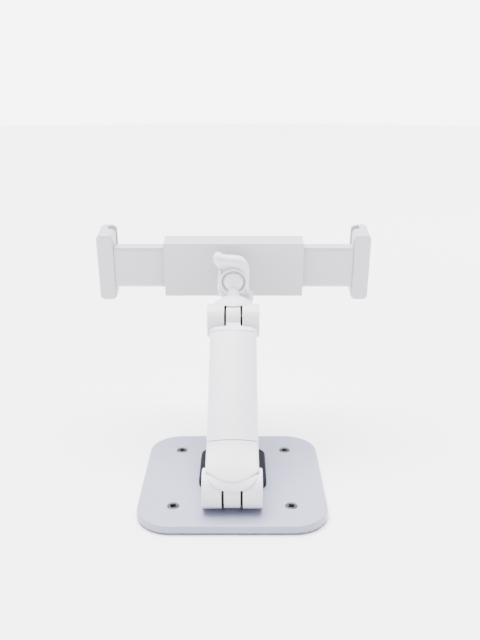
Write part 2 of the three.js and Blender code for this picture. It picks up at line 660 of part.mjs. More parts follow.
// The left slider, drawn for the upper rack. It is a box section, open at its inner end so that the
// other slider's rack runs into it. Its teeth start where a gap of the rack faces a pinion tooth.
function slider(firstTooth) {
  const half = SLIDER_HEIGHT / 2;
  const cavityHalf = half - 3;
  const rackTop = cavityHalf - GAP;
  const front = SLIDER_REAR + SLIDER_DEPTH;
  const outer = alongX(new THREE.Shape([
    new THREE.Vector2(SLIDER_REAR + 1, -half), new THREE.Vector2(front - 1, -half),
    new THREE.Vector2(front, -half + 1), new THREE.Vector2(front, half - 1),
    new THREE.Vector2(front - 1, half), new THREE.Vector2(SLIDER_REAR + 1, half),
    new THREE.Vector2(SLIDER_REAR, half - 1), new THREE.Vector2(SLIDER_REAR, -half + 1),
  ]), SLIDER_OUTER_END - SLIDER_INNER_END).translate([-(SLIDER_OUTER_END + SLIDER_INNER_END) / 2, 0, 0]);
  const rackFront = RACK_REAR + RACK_DEPTH;
  const hollow = box(-SLIDER_OUTER_END + 6, 0, RACK_REAR - GAP, rackFront + GAP, -cavityHalf, cavityHalf);
  const pitchLine = PINION_RADIUS + TOOTH_HALF_HEIGHT + 0.25;
  const bar = box(-SLIDER_INNER_END - 8, RACK_TIP, RACK_REAR, rackFront, pitchLine, rackTop);
  const root = box(-SLIDER_INNER_END - 8, -SLIDER_INNER_END, RACK_REAR - GAP - 0.2, rackFront + GAP + 0.2,
    pitchLine, cavityHalf + 0.2);
  let result = outer.subtract(hollow).add(bar).add(root);
  const count = Math.floor((SLIDER_INNER_END + RACK_TIP - 2) / TOOTH_PITCH);
  const low = PINION_RADIUS - TOOTH_HALF_HEIGHT;
  const firstX = firstTooth + Math.floor((RACK_TIP - firstTooth - 1) / TOOTH_PITCH) * TOOTH_PITCH;
  for (let tooth = 0; tooth < count; tooth += 1) {
    const x = firstX - tooth * TOOTH_PITCH;
    const profile = new THREE.Shape([
      new THREE.Vector2(x - TOOTH_ROOT, pitchLine + 0.4), new THREE.Vector2(x - TOOTH_TIP, low),
      new THREE.Vector2(x + TOOTH_TIP, low), new THREE.Vector2(x + TOOTH_ROOT, pitchLine + 0.4),
    ]);
    result = result.add(alongY(profile, RACK_REAR, rackFront));
  }
  return result;
}

function grip() {
  const middle = (GRIP_OUTER + GRIP_INNER) / 2;
  const outline = rectangle(GRIP_OUTER - GRIP_INNER, GRIP_HEIGHT, 6);
  const body = alongY(outline, GRIP_REAR, GRIP_FRONT, 1.2, 5).translate([-middle, 0, 0]);
  const channel = box(-TABLET_HALF_WIDTH - 1.8, 0, TABLET_REAR, TABLET_REAR + TABLET_SPACE, -40, 40);
  const half = SLIDER_HEIGHT / 2 + GAP;
  const pocket = box(-SLIDER_OUTER_END - GAP, 0,
    SLIDER_REAR - GAP, SLIDER_REAR + SLIDER_DEPTH + GAP, -half, half);
  return body.subtract(channel).subtract(pocket);
}

function gripPad() {
  const x = TABLET_HALF_WIDTH + 1.5;
  return box(-x, -TABLET_HALF_WIDTH - 0.1, TABLET_REAR + GAP, TABLET_REAR + TABLET_SPACE - GAP, -25, 25);
}

for (const [label, side] of [['left', 1], ['right', -1]]) {
  // half a turn about Y makes the right-hand pieces out of the left-hand ones
  const turn = side > 0 ? 0 : Math.PI;
  const firstTooth = side > 0 ? TOOTH_PITCH / 2 : 0;
  const pieces = [
    mesh(`${label}_slider`, slider(firstTooth), clampPlastic),
    mesh(`${label}_grip`, grip(), clampPlastic),
    mesh(`${label}_grip_pad`, gripPad(), rubber),
  ];
  for (const piece of pieces) {
    piece.rotation.y = turn;
    holder.add(piece);
  }
}

const stand = new THREE.Group();
stand.add(base, turntable, arm, head, holder);

export default stand;
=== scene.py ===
"""Looks of the tablet stand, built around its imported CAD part.

Every piece is drawn in millimetres, in the stand's own frame or in one whose origin and axes come from
the part's joints, and is then set in the stand's frame in metres.
"""

import json
import math

import bmesh
import bpy
from mathutils import Matrix, Vector


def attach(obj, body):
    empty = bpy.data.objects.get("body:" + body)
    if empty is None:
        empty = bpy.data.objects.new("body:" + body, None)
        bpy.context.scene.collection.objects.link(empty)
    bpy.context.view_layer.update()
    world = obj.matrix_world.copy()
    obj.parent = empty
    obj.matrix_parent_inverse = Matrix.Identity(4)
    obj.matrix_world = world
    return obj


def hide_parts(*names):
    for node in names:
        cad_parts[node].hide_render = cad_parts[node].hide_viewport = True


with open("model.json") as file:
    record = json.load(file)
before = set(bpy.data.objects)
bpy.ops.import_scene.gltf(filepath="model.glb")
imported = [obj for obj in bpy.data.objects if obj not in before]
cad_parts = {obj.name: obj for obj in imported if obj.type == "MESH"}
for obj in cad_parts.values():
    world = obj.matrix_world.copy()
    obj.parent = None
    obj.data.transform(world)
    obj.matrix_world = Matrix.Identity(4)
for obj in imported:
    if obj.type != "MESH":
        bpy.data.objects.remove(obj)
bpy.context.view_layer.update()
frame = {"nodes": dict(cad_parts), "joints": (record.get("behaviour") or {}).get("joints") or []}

MM = 0.001
X_AXIS = Vector((1, 0, 0))
joints = {joint["name"]: joint for joint in frame["joints"]}


# ---------- frames ----------
def frame_at(origin, along):
    """Millimetres to metres: local X is the stand's X, and local Y runs along the given direction."""
    y = Vector(along).normalized()
    turn = Matrix((X_AXIS, y, X_AXIS.cross(y))).transposed().to_4x4()
    return Matrix.Translation(Vector(origin)) @ turn @ Matrix.Scale(MM, 4)


LOWER = Vector(joints["arm_tilt"]["pos_m"])
UPPER = Vector(joints["head_tilt"]["pos_m"])
BALL = Vector(joints["ball_tilt"]["pos_m"])
BASE_FRAME = Matrix.Scale(MM, 4)
KNUCKLE_FRAME = frame_at(LOWER, (0, 1, 0))
ARM_FRAME = frame_at(LOWER, UPPER - LOWER)
ARM_TOP_FRAME = frame_at(UPPER, UPPER - LOWER)
HEAD_FRAME = frame_at(UPPER, BALL - UPPER)
HOLDER_FRAME = frame_at(BALL, joints["ball_roll"]["axis"])
HALF_TURN = Matrix.Rotation(math.pi, 4, "Y")

# ---------- sizes that several pieces share, in millimetres ----------
PLATE_HALF = 67
PLATE_CORNER = 25
PAD_TOP = 1
PLATE_TOP = 6.4
PLATE_SCREW_REACH = 41.5
FOOT_LOW = 7
FOOT_TOP = 11.5
FOOT_SCREW_Y = -15
BARREL_RADIUS = 13.5
BARREL_HALF = 21
SLOT_HALF = 7.4
ROOM_RADIUS = 14.1  # the room in a barrel that its tongue turns in
TONGUE_RADIUS = 13.2
TONGUE_HALF = 5.65
BOLT_BORE = 3.3
ARM_LENGTH = (UPPER - LOWER).length / MM
ARM_HALF = 18.5
ARM_CROWN = 13
ARM_SHOULDER = 10.2
ARM_UNDER = -10
ARM_WALL = 2.4
LOWER_SEAM = 30
UPPER_CAP = 17
UPPER_SEAM = ARM_LENGTH - UPPER_CAP
STEM_LENGTH = (BALL - UPPER).length / MM
BALL_RADIUS = 8.4
SLEEVE_REAR = 20
SLEEVE_FRONT = 38
SLEEVE_HALF = 59.5
SLEEVE_RISE = 24.75
PAIR_REACH = 10  # how far the foot's and the arm's paired screws are from the middle
SIDES = (("left", -1), ("right", 1))
LEVELS = (("upper", 1), ("lower", -1))


# ---------- mesh code ----------
def to_object(name, bm):
    bmesh.ops.recalc_face_normals(bm, faces=bm.faces)
    mesh = bpy.data.meshes.new(name)
    bm.to_mesh(mesh)
    bm.free()
    obj = bpy.data.objects.new(name, mesh)
    bpy.context.scene.collection.objects.link(obj)
    return obj


AXES = {
    "x": lambda a, b, h: (h, a, b),
    "y": lambda a, b, h: (a, h, b),
    "z": lambda a, b, h: (a, b, h),
}


def soften(points, radius, steps=4, closed=True, keep=()):
    """The same outline with each corner rounded; keep lists corners left as they are."""
    result = []
    last = len(points) - 1
    for index, point in enumerate(points):
        if index in keep or (not closed and index in (0, last)):
            result.append(tuple(point))
            continue
        corner = Vector(point)
        before = Vector(points[index - 1]) - corner
        after = Vector(points[(index + 1) % len(points)]) - corner
        reach_a = min(radius, before.length * 0.48)
        reach_b = min(radius, after.length * 0.48)
        start = corner + before.normalized() * reach_a
        end = corner + after.normalized() * reach_b
        for step in range(steps + 1):
            t = step / steps
            result.append(tuple(start * (1 - t) ** 2 + corner * 2 * t * (1 - t) + end * t**2))
    return result


def lathe(profile, axis="y", sides=96):
    """A profile of (radius, height) turned about an axis; one that starts off the axis is closed."""
    place = AXES[axis]
    bm = bmesh.new()
    rings = []
    for radius, height in profile:
        if radius < 1e-6:
            rings.append([bm.verts.new(place(0, 0, height))])
            continue
        ring = []
        for side in range(sides):
            angle = 2 * math.pi * side / sides
            ring.append(bm.verts.new(place(radius * math.cos(angle), radius * math.sin(angle), height)))
        rings.append(ring)
    pairs = list(zip(rings, rings[1:]))
    if len(rings[0]) > 1:
        pairs.append((rings[-1], rings[0]))
    for low, high in pairs:
        if len(low) == len(high) == 1:
            continue
        for side in range(sides):
            after = (side + 1) % sides
            corners = [low[side % len(low)], low[after % len(low)]]
            corners += [high[after % len(high)], high[side % len(high)]]
            bm.faces.new(list(dict.fromkeys(corners)))
    return to_object("turned", bm)


def inset_outline(outline, inset):
    """A counter-clockwise outline moved inwards."""
    if not inset:
        return list(outline)
    count = len(outline)
    result = []
    for index in range(count):
        here = Vector(outline[index])
        before = (here - Vector(outline[index - 1])).normalized()
        after = (Vector(outline[(index + 1) % count]) - here).normalized()
        inward = Vector((-before.y - after.y, before.x + after.x))
        inward.normalize()
        share = max(0.5, inward.dot(Vector((-after.y, after.x))))
        result.append(tuple(here + inward * inset / share))
    return result


def prism(outline, low, high, edge=0.0, axis="z", steps=4, edge_low=None):
    """An outline raised from low to high along an axis, with its edges rounded."""
    area = sum(a[0] * b[1] - b[0] * a[1] for a, b in zip(outline, outline[1:] + outline[:1]))
    if area < 0:
        outline = outline[::-1]
    edge_low = edge if edge_low is None else edge_low
    levels = []
    for step in range(steps + 1):
        angle = math.pi / 2 * step / steps
        levels.append((edge_low * (1 - math.sin(angle)), low + edge_low * (1 - math.cos(angle))))
        if not edge_low:
            break
    for step in range(steps + 1):
        angle = math.pi / 2 * step / steps
        levels.append((edge * (1 - math.cos(angle)), high - edge * (1 - math.sin(angle))))
        if not edge:
            break
    place = AXES[axis]
    bm = bmesh.new()
    rings = []
    for inset, height in levels:
        rings.append([bm.verts.new(place(a, b, height)) for a, b in inset_outline(outline, inset)])
    count = len(outline)
    for below, above in zip(rings, rings[1:]):
        for index in range(count):
            after = (index + 1) % count
            bm.faces.new((below[index], below[after], above[after], above[index]))
    bm.faces.new(rings[0][::-1])
    bm.faces.new(rings[-1])
    return to_object("raised", bm)


def circle(radius, sides=96, centre=(0, 0)):
    step = 2 * math.pi / sides
    points = []
    for side in range(sides):
        x = centre[0] + radius * math.cos(side * step)
        y = centre[1] + radius * math.sin(side * step)
        points.append((x, y))
    return points


def rod(axis, radius, low, high, edge=0.0, centre=(0, 0), sides=96):
    return prism(circle(radius, sides, centre), low, high, edge, axis)


def rectangle(x0, x1, y0, y1, corner=0.0, steps=12):
    """Counter-clockwise from (x0, y0); a round corner has one point more than it has steps."""
    if not corner:
        return [(x0, y0), (x1, y0), (x1, y1), (x0, y1)]
    result = []
    centres = [(x0, y0, 1, 1, 180), (x1, y0, -1, 1, 270), (x1, y1, -1, -1, 0), (x0, y1, 1, -1, 90)]
    for cx, cy, sx, sy, start in centres:
        for step in range(steps + 1):
            angle = math.radians(start + 90 * step / steps)
            x = cx + sx * corner + corner * math.cos(angle)
            y = cy + sy * corner + corner * math.sin(angle)
            result.append((x, y))
    return result


def square(half, corner, steps):
    return rectangle(-half, half, -half, half, corner, steps)


def hexagon(across_flats):
    radius = across_flats / math.sqrt(3)
    return [(radius * math.cos(i * math.pi / 3), radius * math.sin(i * math.pi / 3)) for i in range(6)]


def block(x0, x1, y0, y1, z0, z1):
    return prism(rectangle(x0, x1, y0, y1), z0, z1)


def apply_modifiers(obj):
    graph = bpy.context.evaluated_depsgraph_get()
    mesh = bpy.data.meshes.new_from_object(obj.evaluated_get(graph))
    obj.modifiers.clear()
    old = obj.data
    obj.data = mesh
    bpy.data.meshes.remove(old)
    return obj


def boolean(obj, tool, operation):
    """The object cut, joined or kept by a tool, which is used up."""
    modifier = obj.modifiers.new("boolean", "BOOLEAN")
    modifier.operation = operation
    modifier.solver = "MANIFOLD"
    modifier.object = tool
    apply_modifiers(obj)
    mesh = tool.data
    bpy.data.objects.remove(tool)
    bpy.data.meshes.remove(mesh)
    return obj


def cut(obj, *tools):
    for tool in tools:
        boolean(obj, tool, "DIFFERENCE")
    return obj


def join(obj, *tools):
    for tool in tools:
        boolean(obj, tool, "UNION")
    return obj


def common(obj, tool):
    return boolean(obj, tool, "INTERSECT")


def moved(obj, matrix):
    obj.data.transform(matrix)
    return obj


WELD_DISTANCE = 0.004


def rounded(obj, width, segments=2, angle=32):
    """Edges sharper than the angle get a small round."""
    bm = bmesh.new()
    bm.from_mesh(obj.data)
    bmesh.ops.remove_doubles(bm, verts=bm.verts, dist=WELD_DISTANCE)
    bmesh.ops.dissolve_degenerate(bm, edges=bm.edges, dist=WELD_DISTANCE)
    bm.to_mesh(obj.data)
    bm.free()
    modifier = obj.modifiers.new("round", "BEVEL")
    modifier.width = width
    modifier.segments = segments
    modifier.limit_method = "ANGLE"
    modifier.angle_limit = math.radians(angle)
    modifier.use_clamp_overlap = True
    return apply_modifiers(obj)


# ---------- materials ----------
COAT_ROUGHNESS = 0.18
GLOSS_SPREAD = 0.05
SPECKLE_SCALE = 0.45  # the speckle's scale as a share of the grain's
GRAIN_DEPTH = 0.0002  # in metres


def link(tree, source, target):
    tree.links.new(source, target)


def finish_material(
    name, color, roughness, metallic=0.0, grain=(1500, 0.05), mottle=(38, 0.03), coat=0.0, stretch=(1, 1, 1),
    specular=0.5,
):
    """A solid finish: slow drift of tone, fine grain in the surface, and a speckle in tone and gloss.

    grain is its scale and its strength, and mottle is the drift's scale and how far the tone drifts.
    """
    material = bpy.data.materials.new(name)
    material.use_nodes = True
    tree = material.node_tree
    nodes = tree.nodes
    shader = nodes["Principled BSDF"]
    shader.inputs["Metallic"].default_value = metallic
    shader.inputs["Coat Weight"].default_value = coat
    shader.inputs["Coat Roughness"].default_value = COAT_ROUGHNESS
    shader.inputs["Specular IOR Level"].default_value = specular
    place = nodes.new("ShaderNodeTexCoord")
    mapping = nodes.new("ShaderNodeMapping")
    mapping.inputs["Scale"].default_value = stretch
    link(tree, place.outputs["Object"], mapping.inputs["Vector"])

    def noise(scale, detail, vector):
        texture = nodes.new("ShaderNodeTexNoise")
        texture.inputs["Scale"].default_value = scale
        texture.inputs["Detail"].default_value = detail
        link(tree, vector, texture.inputs["Vector"])
        return texture.outputs["Fac"]

    def ramp(source, low, low_color, high, high_color):
        node = nodes.new("ShaderNodeValToRGB")
        first, last = node.color_ramp.elements
        first.position = low
        first.color = (*low_color, 1)
        last.position = high
        last.color = (*high_color, 1)
        link(tree, source, node.inputs["Fac"])
        return node.outputs["Color"]

    drift = noise(mottle[0], 3, place.outputs["Object"])
    fine = noise(grain[0], 4, mapping.outputs["Vector"])
    speckle = noise(grain[0] * SPECKLE_SCALE, 2, mapping.outputs["Vector"])

    spread = mottle[1]
    darker = [c * (1 - spread) for c in color]
    lighter = [min(1, c * (1 + spread)) for c in color]
    speck = 1 - spread * 1.2
    tint = nodes.new("ShaderNodeMix")
    tint.data_type = "RGBA"
    tint.blend_type = "MULTIPLY"
    tint.inputs["Factor"].default_value = 1.0
    link(tree, ramp(drift, 0.3, darker, 0.7, lighter), tint.inputs["A"])
    link(tree, ramp(speckle, 0.25, (speck, speck, speck), 0.6, (1, 1, 1)), tint.inputs["B"])
    link(tree, tint.outputs["Result"], shader.inputs["Base Color"])

    gloss = nodes.new("ShaderNodeMapRange")
    gloss.inputs["From Min"].default_value = 0.3
    gloss.inputs["From Max"].default_value = 0.7
    gloss.inputs["To Min"].default_value = max(0.02, roughness - GLOSS_SPREAD)
    gloss.inputs["To Max"].default_value = min(1, roughness + GLOSS_SPREAD)
    link(tree, speckle, gloss.inputs["Value"])
    link(tree, gloss.outputs["Result"], shader.inputs["Roughness"])

    bump = nodes.new("ShaderNodeBump")
    bump.inputs["Strength"].default_value = grain[1]
    bump.inputs["Distance"].default_value = GRAIN_DEPTH
    link(tree, fine, bump.inputs["Height"])
    link(tree, bump.outputs["Normal"], shader.inputs["Normal"])
    return material


LOOKS = {
    "base_coat": finish_material(
        "satin_powder_coat", (0.28, 0.288, 0.39), 0.42, grain=(1100, 0.12), mottle=(22, 0.02), coat=0.15
    ),
    "arm_coat": finish_material(
        "satin_lacquer", (0.69, 0.685, 0.745), 0.34, grain=(700, 0.03), mottle=(16, 0.012), coat=0.25
    ),
    "white_plastic": finish_material(
        "white_moulding", (0.70, 0.69, 0.74), 0.42, grain=(2300, 0.09), mottle=(30, 0.015)
    ),
    "clamp_plastic": finish_material(
        "clamp_moulding", (0.50, 0.492, 0.54), 0.46, grain=(2000, 0.12), mottle=(26, 0.018)
    ),
    "dark_plastic": finish_material(
        "dark_moulding", (0.011, 0.012, 0.018), 0.62, grain=(1800, 0.15), mottle=(40, 0.06), specular=0.05
    ),
    "rubber": finish_material(
        "black_rubber", (0.012, 0.012, 0.013), 0.8, grain=(1300, 0.3), mottle=(60, 0.12), specular=0.15
    ),
    "steel": finish_material(
        "brushed_zinc", (0.09, 0.093, 0.096), 0.34, metallic=1.0, grain=(700, 0.22), mottle=(90, 0.08),
        stretch=(1, 1, 14),
    ),
}
# painted shade: the cut faces of screw crosses and hexagon sockets get this near-black colour in place of the
# shade inside those hollows
PAINTED_RECESS_SHADE = finish_material(
    "painted_recess_shade", (0.03, 0.03, 0.032), 0.6, metallic=0.4, grain=(1500, 0.3), mottle=(80, 0.1)
)


def shade_painting_tool(obj):
    """A cutting tool whose cut faces take a near-black colour, painted shade for the hollow it cuts."""
    obj.data.materials.append(None)
    obj.data.materials.append(PAINTED_RECESS_SHADE)
    for face in obj.data.polygons:
        face.material_index = 1
    return obj


def piece(name, obj, matrix, body, slot, *nodes, smooth=38):
    """The finished piece, in its place, riding on its body and standing for the CAD nodes."""
    obj.name = name
    obj.data.name = name
    obj.data.transform(matrix)
    obj.data.update()
    if not obj.data.materials:
        obj.data.materials.append(LOOKS[slot])
    else:
        obj.data.materials[0] = LOOKS[slot]
    obj.data.shade_smooth()
    obj.data.set_sharp_from_angle(angle=math.radians(smooth))
    modifier = obj.modifiers.new("normals", "WEIGHTED_NORMAL")
    modifier.keep_sharp = True
    apply_modifiers(obj)
    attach(obj, body)
    if nodes:
        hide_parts(*nodes)
    return obj


# ---------- base ----------
CROSS_TAPER = 0.55
SWIVEL_BORE = 3.2
# whether each screw is left or right and front or rear, and the angle it came to rest at
PLATE_SCREWS = {
    "front_left": (-1, 1, 0),
    "front_right": (1, 1, 62),
    "rear_left": (-1, -1, -26),
    "rear_right": (1, -1, 36),
}


def cross_recess(reach, depth, top, half):
    """The cross of a screwdriver's seat, cut down from the given height; its bars shorten to their floor."""
    bars = []
    for turn in (0, math.pi / 2):
        bar = prism(rectangle(-reach, reach, -half, half, 0.25, 3), top - depth, top + 2)
        for vertex in bar.data.vertices:
            if vertex.co.z < top:
                vertex.co.x *= CROSS_TAPER
        bars.append(shade_painting_tool(moved(bar, Matrix.Rotation(turn, 4, "Z"))))
    return bars


def countersunk_screw():
    """A flush screw, with its top at height 0."""
    profile = [(0, -4.6), (1.6, -4.6), (2.1, -4.1), (2.1, -2.6), (4.05, -0.62), (4.2, -0.4), (4.18, -0.2)]
    profile += [(3.9, -0.08), (2.4, -0.03), (0, -0.01)]
    return cut(lathe(profile, "z", 64), *cross_recess(reach=3.3, depth=2.0, top=0, half=1.0))


def screw_seat():
    """What a countersunk screw needs cut out of the plate."""
    return lathe([(0, -9), (2.3, -9), (2.3, -2.6), (4.45, -0.45), (4.75, 0.05), (4.75, 1), (0, 1)], "z", 64)


def screw_spot(side_x, side_y):
    return Matrix.Translation((side_x * PLATE_SCREW_REACH, side_y * PLATE_SCREW_REACH, PLATE_TOP))


def base_plate():
    plate = prism(square(PLATE_HALF, PLATE_CORNER, 24), PAD_TOP, PLATE_TOP, 1.15, steps=6, edge_low=0.5)
    for side_x, side_y, _ in PLATE_SCREWS.values():
        cut(plate, moved(screw_seat(), screw_spot(side_x, side_y)))
    nut_pocket = rod("z", 7, 0, 4.5)
    cut(plate, rod("z", SWIVEL_BORE, 0, 8), nut_pocket)
    return rounded(plate, 0.12)


def base_pad():
    """A rubber sheet that ends 2 mm inside the plate's edge."""
    return prism(square(PLATE_HALF - 2, PLATE_CORNER - 2, 20), 0, PAD_TOP - 0.02, 0.2, steps=3)


def swivel_bolt():
    """The bolt that the foot turns on: a cone head with a hexagon socket."""
    profile = [(0, 1.5), (2.5, 1.5), (2.9, 1.9), (2.9, 8.1), (5.6, 10.75), (5.8, 11), (5.7, 11.25), (0, 11.3)]
    return cut(lathe(profile, "z", 64), shade_painting_tool(prism(hexagon(4), 9.1, 13)))


piece("base_plate_coated", base_plate(), BASE_FRAME, "base", "base_coat", "base_plate")
piece("base_pad_rubber", base_pad(), BASE_FRAME, "base", "rubber", "base_pad")
for label, (side_x, side_y, rest) in PLATE_SCREWS.items():
    turn = Matrix.Rotation(math.radians(rest), 4, "Z")
    screw = moved(countersunk_screw(), screw_spot(side_x, side_y) @ turn)
    piece(f"plate_screw_{label}", screw, BASE_FRAME, "base", "steel", f"base_screw_{label}")
piece("swivel_bolt_head", swivel_bolt(), BASE_FRAME, "base", "steel", "swivel_bolt")


# ---------- swivelling foot ----------
FOOT_HALF = 25
FOOT_REAR = -22
FOOT_FRONT = 36
GLIDE_RADIUS = 20
NECK_HALF = 16
NECK_REAR = -6
NECK_FRONT = 36
NECK_LOW = -8.6
NECK_TOP = -4.7
KNUCKLE_SCREW_Y = 27  # the foot's screws as seen from the hinge
HEAD_POCKET_RADIUS = 6.2
NUT_POCKET_RADIUS = 6.8
POCKET_FLOOR = 16


def swivel_foot():
    outline = rectangle(-FOOT_HALF, FOOT_HALF, FOOT_REAR, FOOT_FRONT, 10, 16)
    foot = prism(outline, FOOT_LOW, FOOT_TOP, 1.3, steps=6, edge_low=0.4)
    for side in (-PAIR_REACH, PAIR_REACH):
        cut(foot, rod("z", 1.9, 0, 20, centre=(side, FOOT_SCREW_Y), sides=32))
    bolt_seat = [(0, 5), (SWIVEL_BORE, 5), (SWIVEL_BORE, 8.3), (6, 11), (6.4, 11.6), (6.4, 13), (0, 13)]
    cut(foot, lathe(bolt_seat, "z", 64))
    return rounded(foot, 0.15)


def swivel_glide():
    """A thin disc between the plate and the foot."""
    disc = rod("z", GLIDE_RADIUS, PLATE_TOP + 0.05, FOOT_LOW - 0.05, 0.1)
    return cut(disc, rod("z", SWIVEL_BORE + 0.2, 0, 20))


def barrel():
    """A hinge barrel along X, still whole."""
    return rod("x", BARREL_RADIUS, -BARREL_HALF, BARREL_HALF, 1.0, sides=128)


def barrel_tools():
    """What is cut out of a barrel: the tongue's room, the bolt's bore, and pockets for its head and nut."""
    beyond = BARREL_HALF + 1
    return [
        rod("x", ROOM_RADIUS, -SLOT_HALF, SLOT_HALF, sides=128),
        rod("x", BOLT_BORE, -beyond, beyond, sides=48),
        rod("x", HEAD_POCKET_RADIUS, -beyond, -POCKET_FLOOR, sides=64),
        rod("x", NUT_POCKET_RADIUS, POCKET_FLOOR, beyond, sides=64),
    ]


def lower_knuckle():
    """The lower hinge's barrel, and the flat neck that two screws hold to the foot."""
    outline = rectangle(-NECK_HALF, NECK_HALF, NECK_REAR, NECK_FRONT, 5, 12)
    neck = prism(outline, NECK_LOW, NECK_TOP, 1.2, steps=5, edge_low=0)
    knuckle = cut(join(barrel(), neck), *barrel_tools())
    for side in (-PAIR_REACH, PAIR_REACH):
        centre = (side, KNUCKLE_SCREW_Y)
        bore = rod("z", 2.3, -20, 20, centre=centre, sides=32)
        head_seat = rod("z", 4, NECK_TOP - 2.2, 20, centre=centre, sides=48)
        cut(knuckle, bore, head_seat)
    return rounded(knuckle, 0.35)


def pan_screw(length, shank, head, rise):
    """A screw whose shank hangs below height 0 and whose round head stands on it; radii and heights."""
    profile = [(0, -length), (shank * 0.6, -length), (shank, -length + shank * 0.5), (shank, 0)]
    profile += [(head - 0.15, 0), (head, 0.15), (head, rise * 0.45), (head * 0.9, rise * 0.78)]
    profile += [(head * 0.68, rise * 0.95), (0, rise)]
    return cut(lathe(profile, "z", 48), *cross_recess(head * 0.6, rise * 0.75, rise, 0.4))


piece("swivel_foot_moulding", swivel_foot(), BASE_FRAME, "foot", "dark_plastic", "swivel_foot")
piece("swivel_glide_disc", swivel_glide(), BASE_FRAME, "foot", "rubber", "swivel_glide")
piece("lower_knuckle_moulding", lower_knuckle(), KNUCKLE_FRAME, "foot", "white_plastic", "base_knuckle")
for label, sign in SIDES:
    spot = Matrix.Translation((sign * PAIR_REACH, FOOT_SCREW_Y, FOOT_TOP + 2))
    screw = moved(pan_screw(length=5.9, shank=1.7, head=3.6, rise=2), spot)
    piece(f"foot_screw_{label}_pan", screw, BASE_FRAME, "foot", "steel", f"foot_screw_{label}")


# ---------- hinge hardware ----------
NUT_LOW = 16.2
NUT_HIGH = 19.8
WASHER_RADIUS = 11.4
WASHER_PLAY = 0.2


def hinge_bolt():
    """A bolt along X with its head on the left, from pocket to pocket."""
    profile = [(0, -20.2), (4.5, -20.2), (4.9, -19.9), (5, -19.6), (5, -16.3), (4.9, -16.2), (3, -16.2)]
    profile += [(3, 19.8), (2.6, 20.2), (0, 20.2)]
    return cut(lathe(profile, "x", 64), shade_painting_tool(prism(hexagon(5), -21.5, -17.5, axis="x")))


def hinge_nut():
    """A hexagon nut whose corners are turned off at both ends."""
    turned = [(0, NUT_LOW), (5, NUT_LOW), (5.75, 16.8), (5.75, 19.2), (5, NUT_HIGH), (0, NUT_HIGH)]
    nut = common(prism(hexagon(10), NUT_LOW, NUT_HIGH, axis="x"), lathe(turned, "x", 64))
    return cut(nut, rod("x", 3.1, 0, 22, sides=48))


def hinge_washer(sign):
    """A friction disc between the tongue and one wall of its slot."""
    low, high = sorted((sign * (TONGUE_HALF + WASHER_PLAY), sign * (SLOT_HALF - WASHER_PLAY)))
    return cut(rod("x", WASHER_RADIUS, low, high, 0.3), rod("x", 3.2, low - 1, high + 1, sides=48))


for hinge, matrix, body in (("lower", KNUCKLE_FRAME, "foot"), ("upper", HEAD_FRAME, "head")):
    piece(f"{hinge}_bolt_steel", hinge_bolt(), matrix, body, "steel", f"{hinge}_hinge_bolt")
    piece(f"{hinge}_nut_steel", hinge_nut(), matrix, body, "steel", f"{hinge}_hinge_nut", smooth=25)
    for side, sign in SIDES:
        node = f"{hinge}_hinge_washer_{side}"
        piece(f"{hinge}_washer_{side}_disc", hinge_washer(sign), matrix, body, "rubber", node)


# ---------- arm ----------
CORNER_START = 15.5
CORNER_RISE = 3.5
CROWN_DROP = 2.3  # how much lower the bulged face is where its corners start
LOWER_GAP = 0.3
UPPER_GAP = 0.15
SCREW_INSET = 5
SPIGOT_PLAY = 0.3
HOOD_INNER = 14.15
HOOD_OUTER = 15.2
HOOD_FLOOR = 6.5  # the inside of the hood comes no nearer to the hinge's level than this
HOOD_START = 27
HOOD_RUN = 25  # how far along the arm the hood takes to leave its bulged face
HOOD_TIP = -1.4
HOOD_RISE = 8.4  # how much shorter the hood is at its sides
SKIRT_INNER = 13.75
SKIRT_OUTER = 14.4
SKIRT_HALF = 17
# where the skirt starts and ends round the hinge, in degrees, and how much farther it reaches in its middle
SKIRT_START = 40
SKIRT_END = 76
SKIRT_REACH = 45


def crown(x):
    """Height of the arm's bulged face."""
    across = abs(x)
    if across <= CORNER_START:
        return ARM_CROWN - CROWN_DROP * (across / CORNER_START) ** 2
    share = min(1, (across - CORNER_START) / (ARM_HALF - CORNER_START))
    drop = CORNER_RISE * (1 - math.sqrt(1 - share**2)) + 0.5 * share * (1 - share)
    return ARM_CROWN - CROWN_DROP - drop


def across_arm(half, count):
    """Places from the left to the right, closer together near the sides."""
    return [half * math.sin(math.pi / 2 * (2 * step / count - 1)) for step in range(count + 1)]


def arm_outline():
    """The arm's section: the two round lower corners of a box, and the bulged face from right to left."""
    corner_steps = 10
    box = rectangle(-ARM_HALF, ARM_HALF, ARM_UNDER, 2, 3, corner_steps)
    return box[: 2 * (corner_steps + 1)] + [(-x, crown(x)) for x in across_arm(ARM_HALF, 44)]


def arm_block(inset, low, high, edge=0.0):
    return prism(inset_outline(arm_outline(), inset), low, high, edge, axis="y", steps=3)


def spigot(low, high):
    """The part of a cap that runs inside the arm's tube."""
    return arm_block(ARM_WALL + SPIGOT_PLAY, low, high, 0.4)


def tongue(stalk_low, stalk_high):
    """The disc that turns between a hinge's lugs, and the stalk that joins it to the arm."""
    disc = rod("x", TONGUE_RADIUS, -TONGUE_HALF, TONGUE_HALF, 0.5, sides=128)
    stalk = block(-TONGUE_HALF, TONGUE_HALF, stalk_low, stalk_high, ARM_UNDER + 1, ARM_SHOULDER)
    return join(disc, stalk)


def screw_holes(obj, y, radius, low, high):
    for side in (-PAIR_REACH, PAIR_REACH):
        cut(obj, rod("z", radius, low, high, centre=(side, y), sides=32))
    return obj


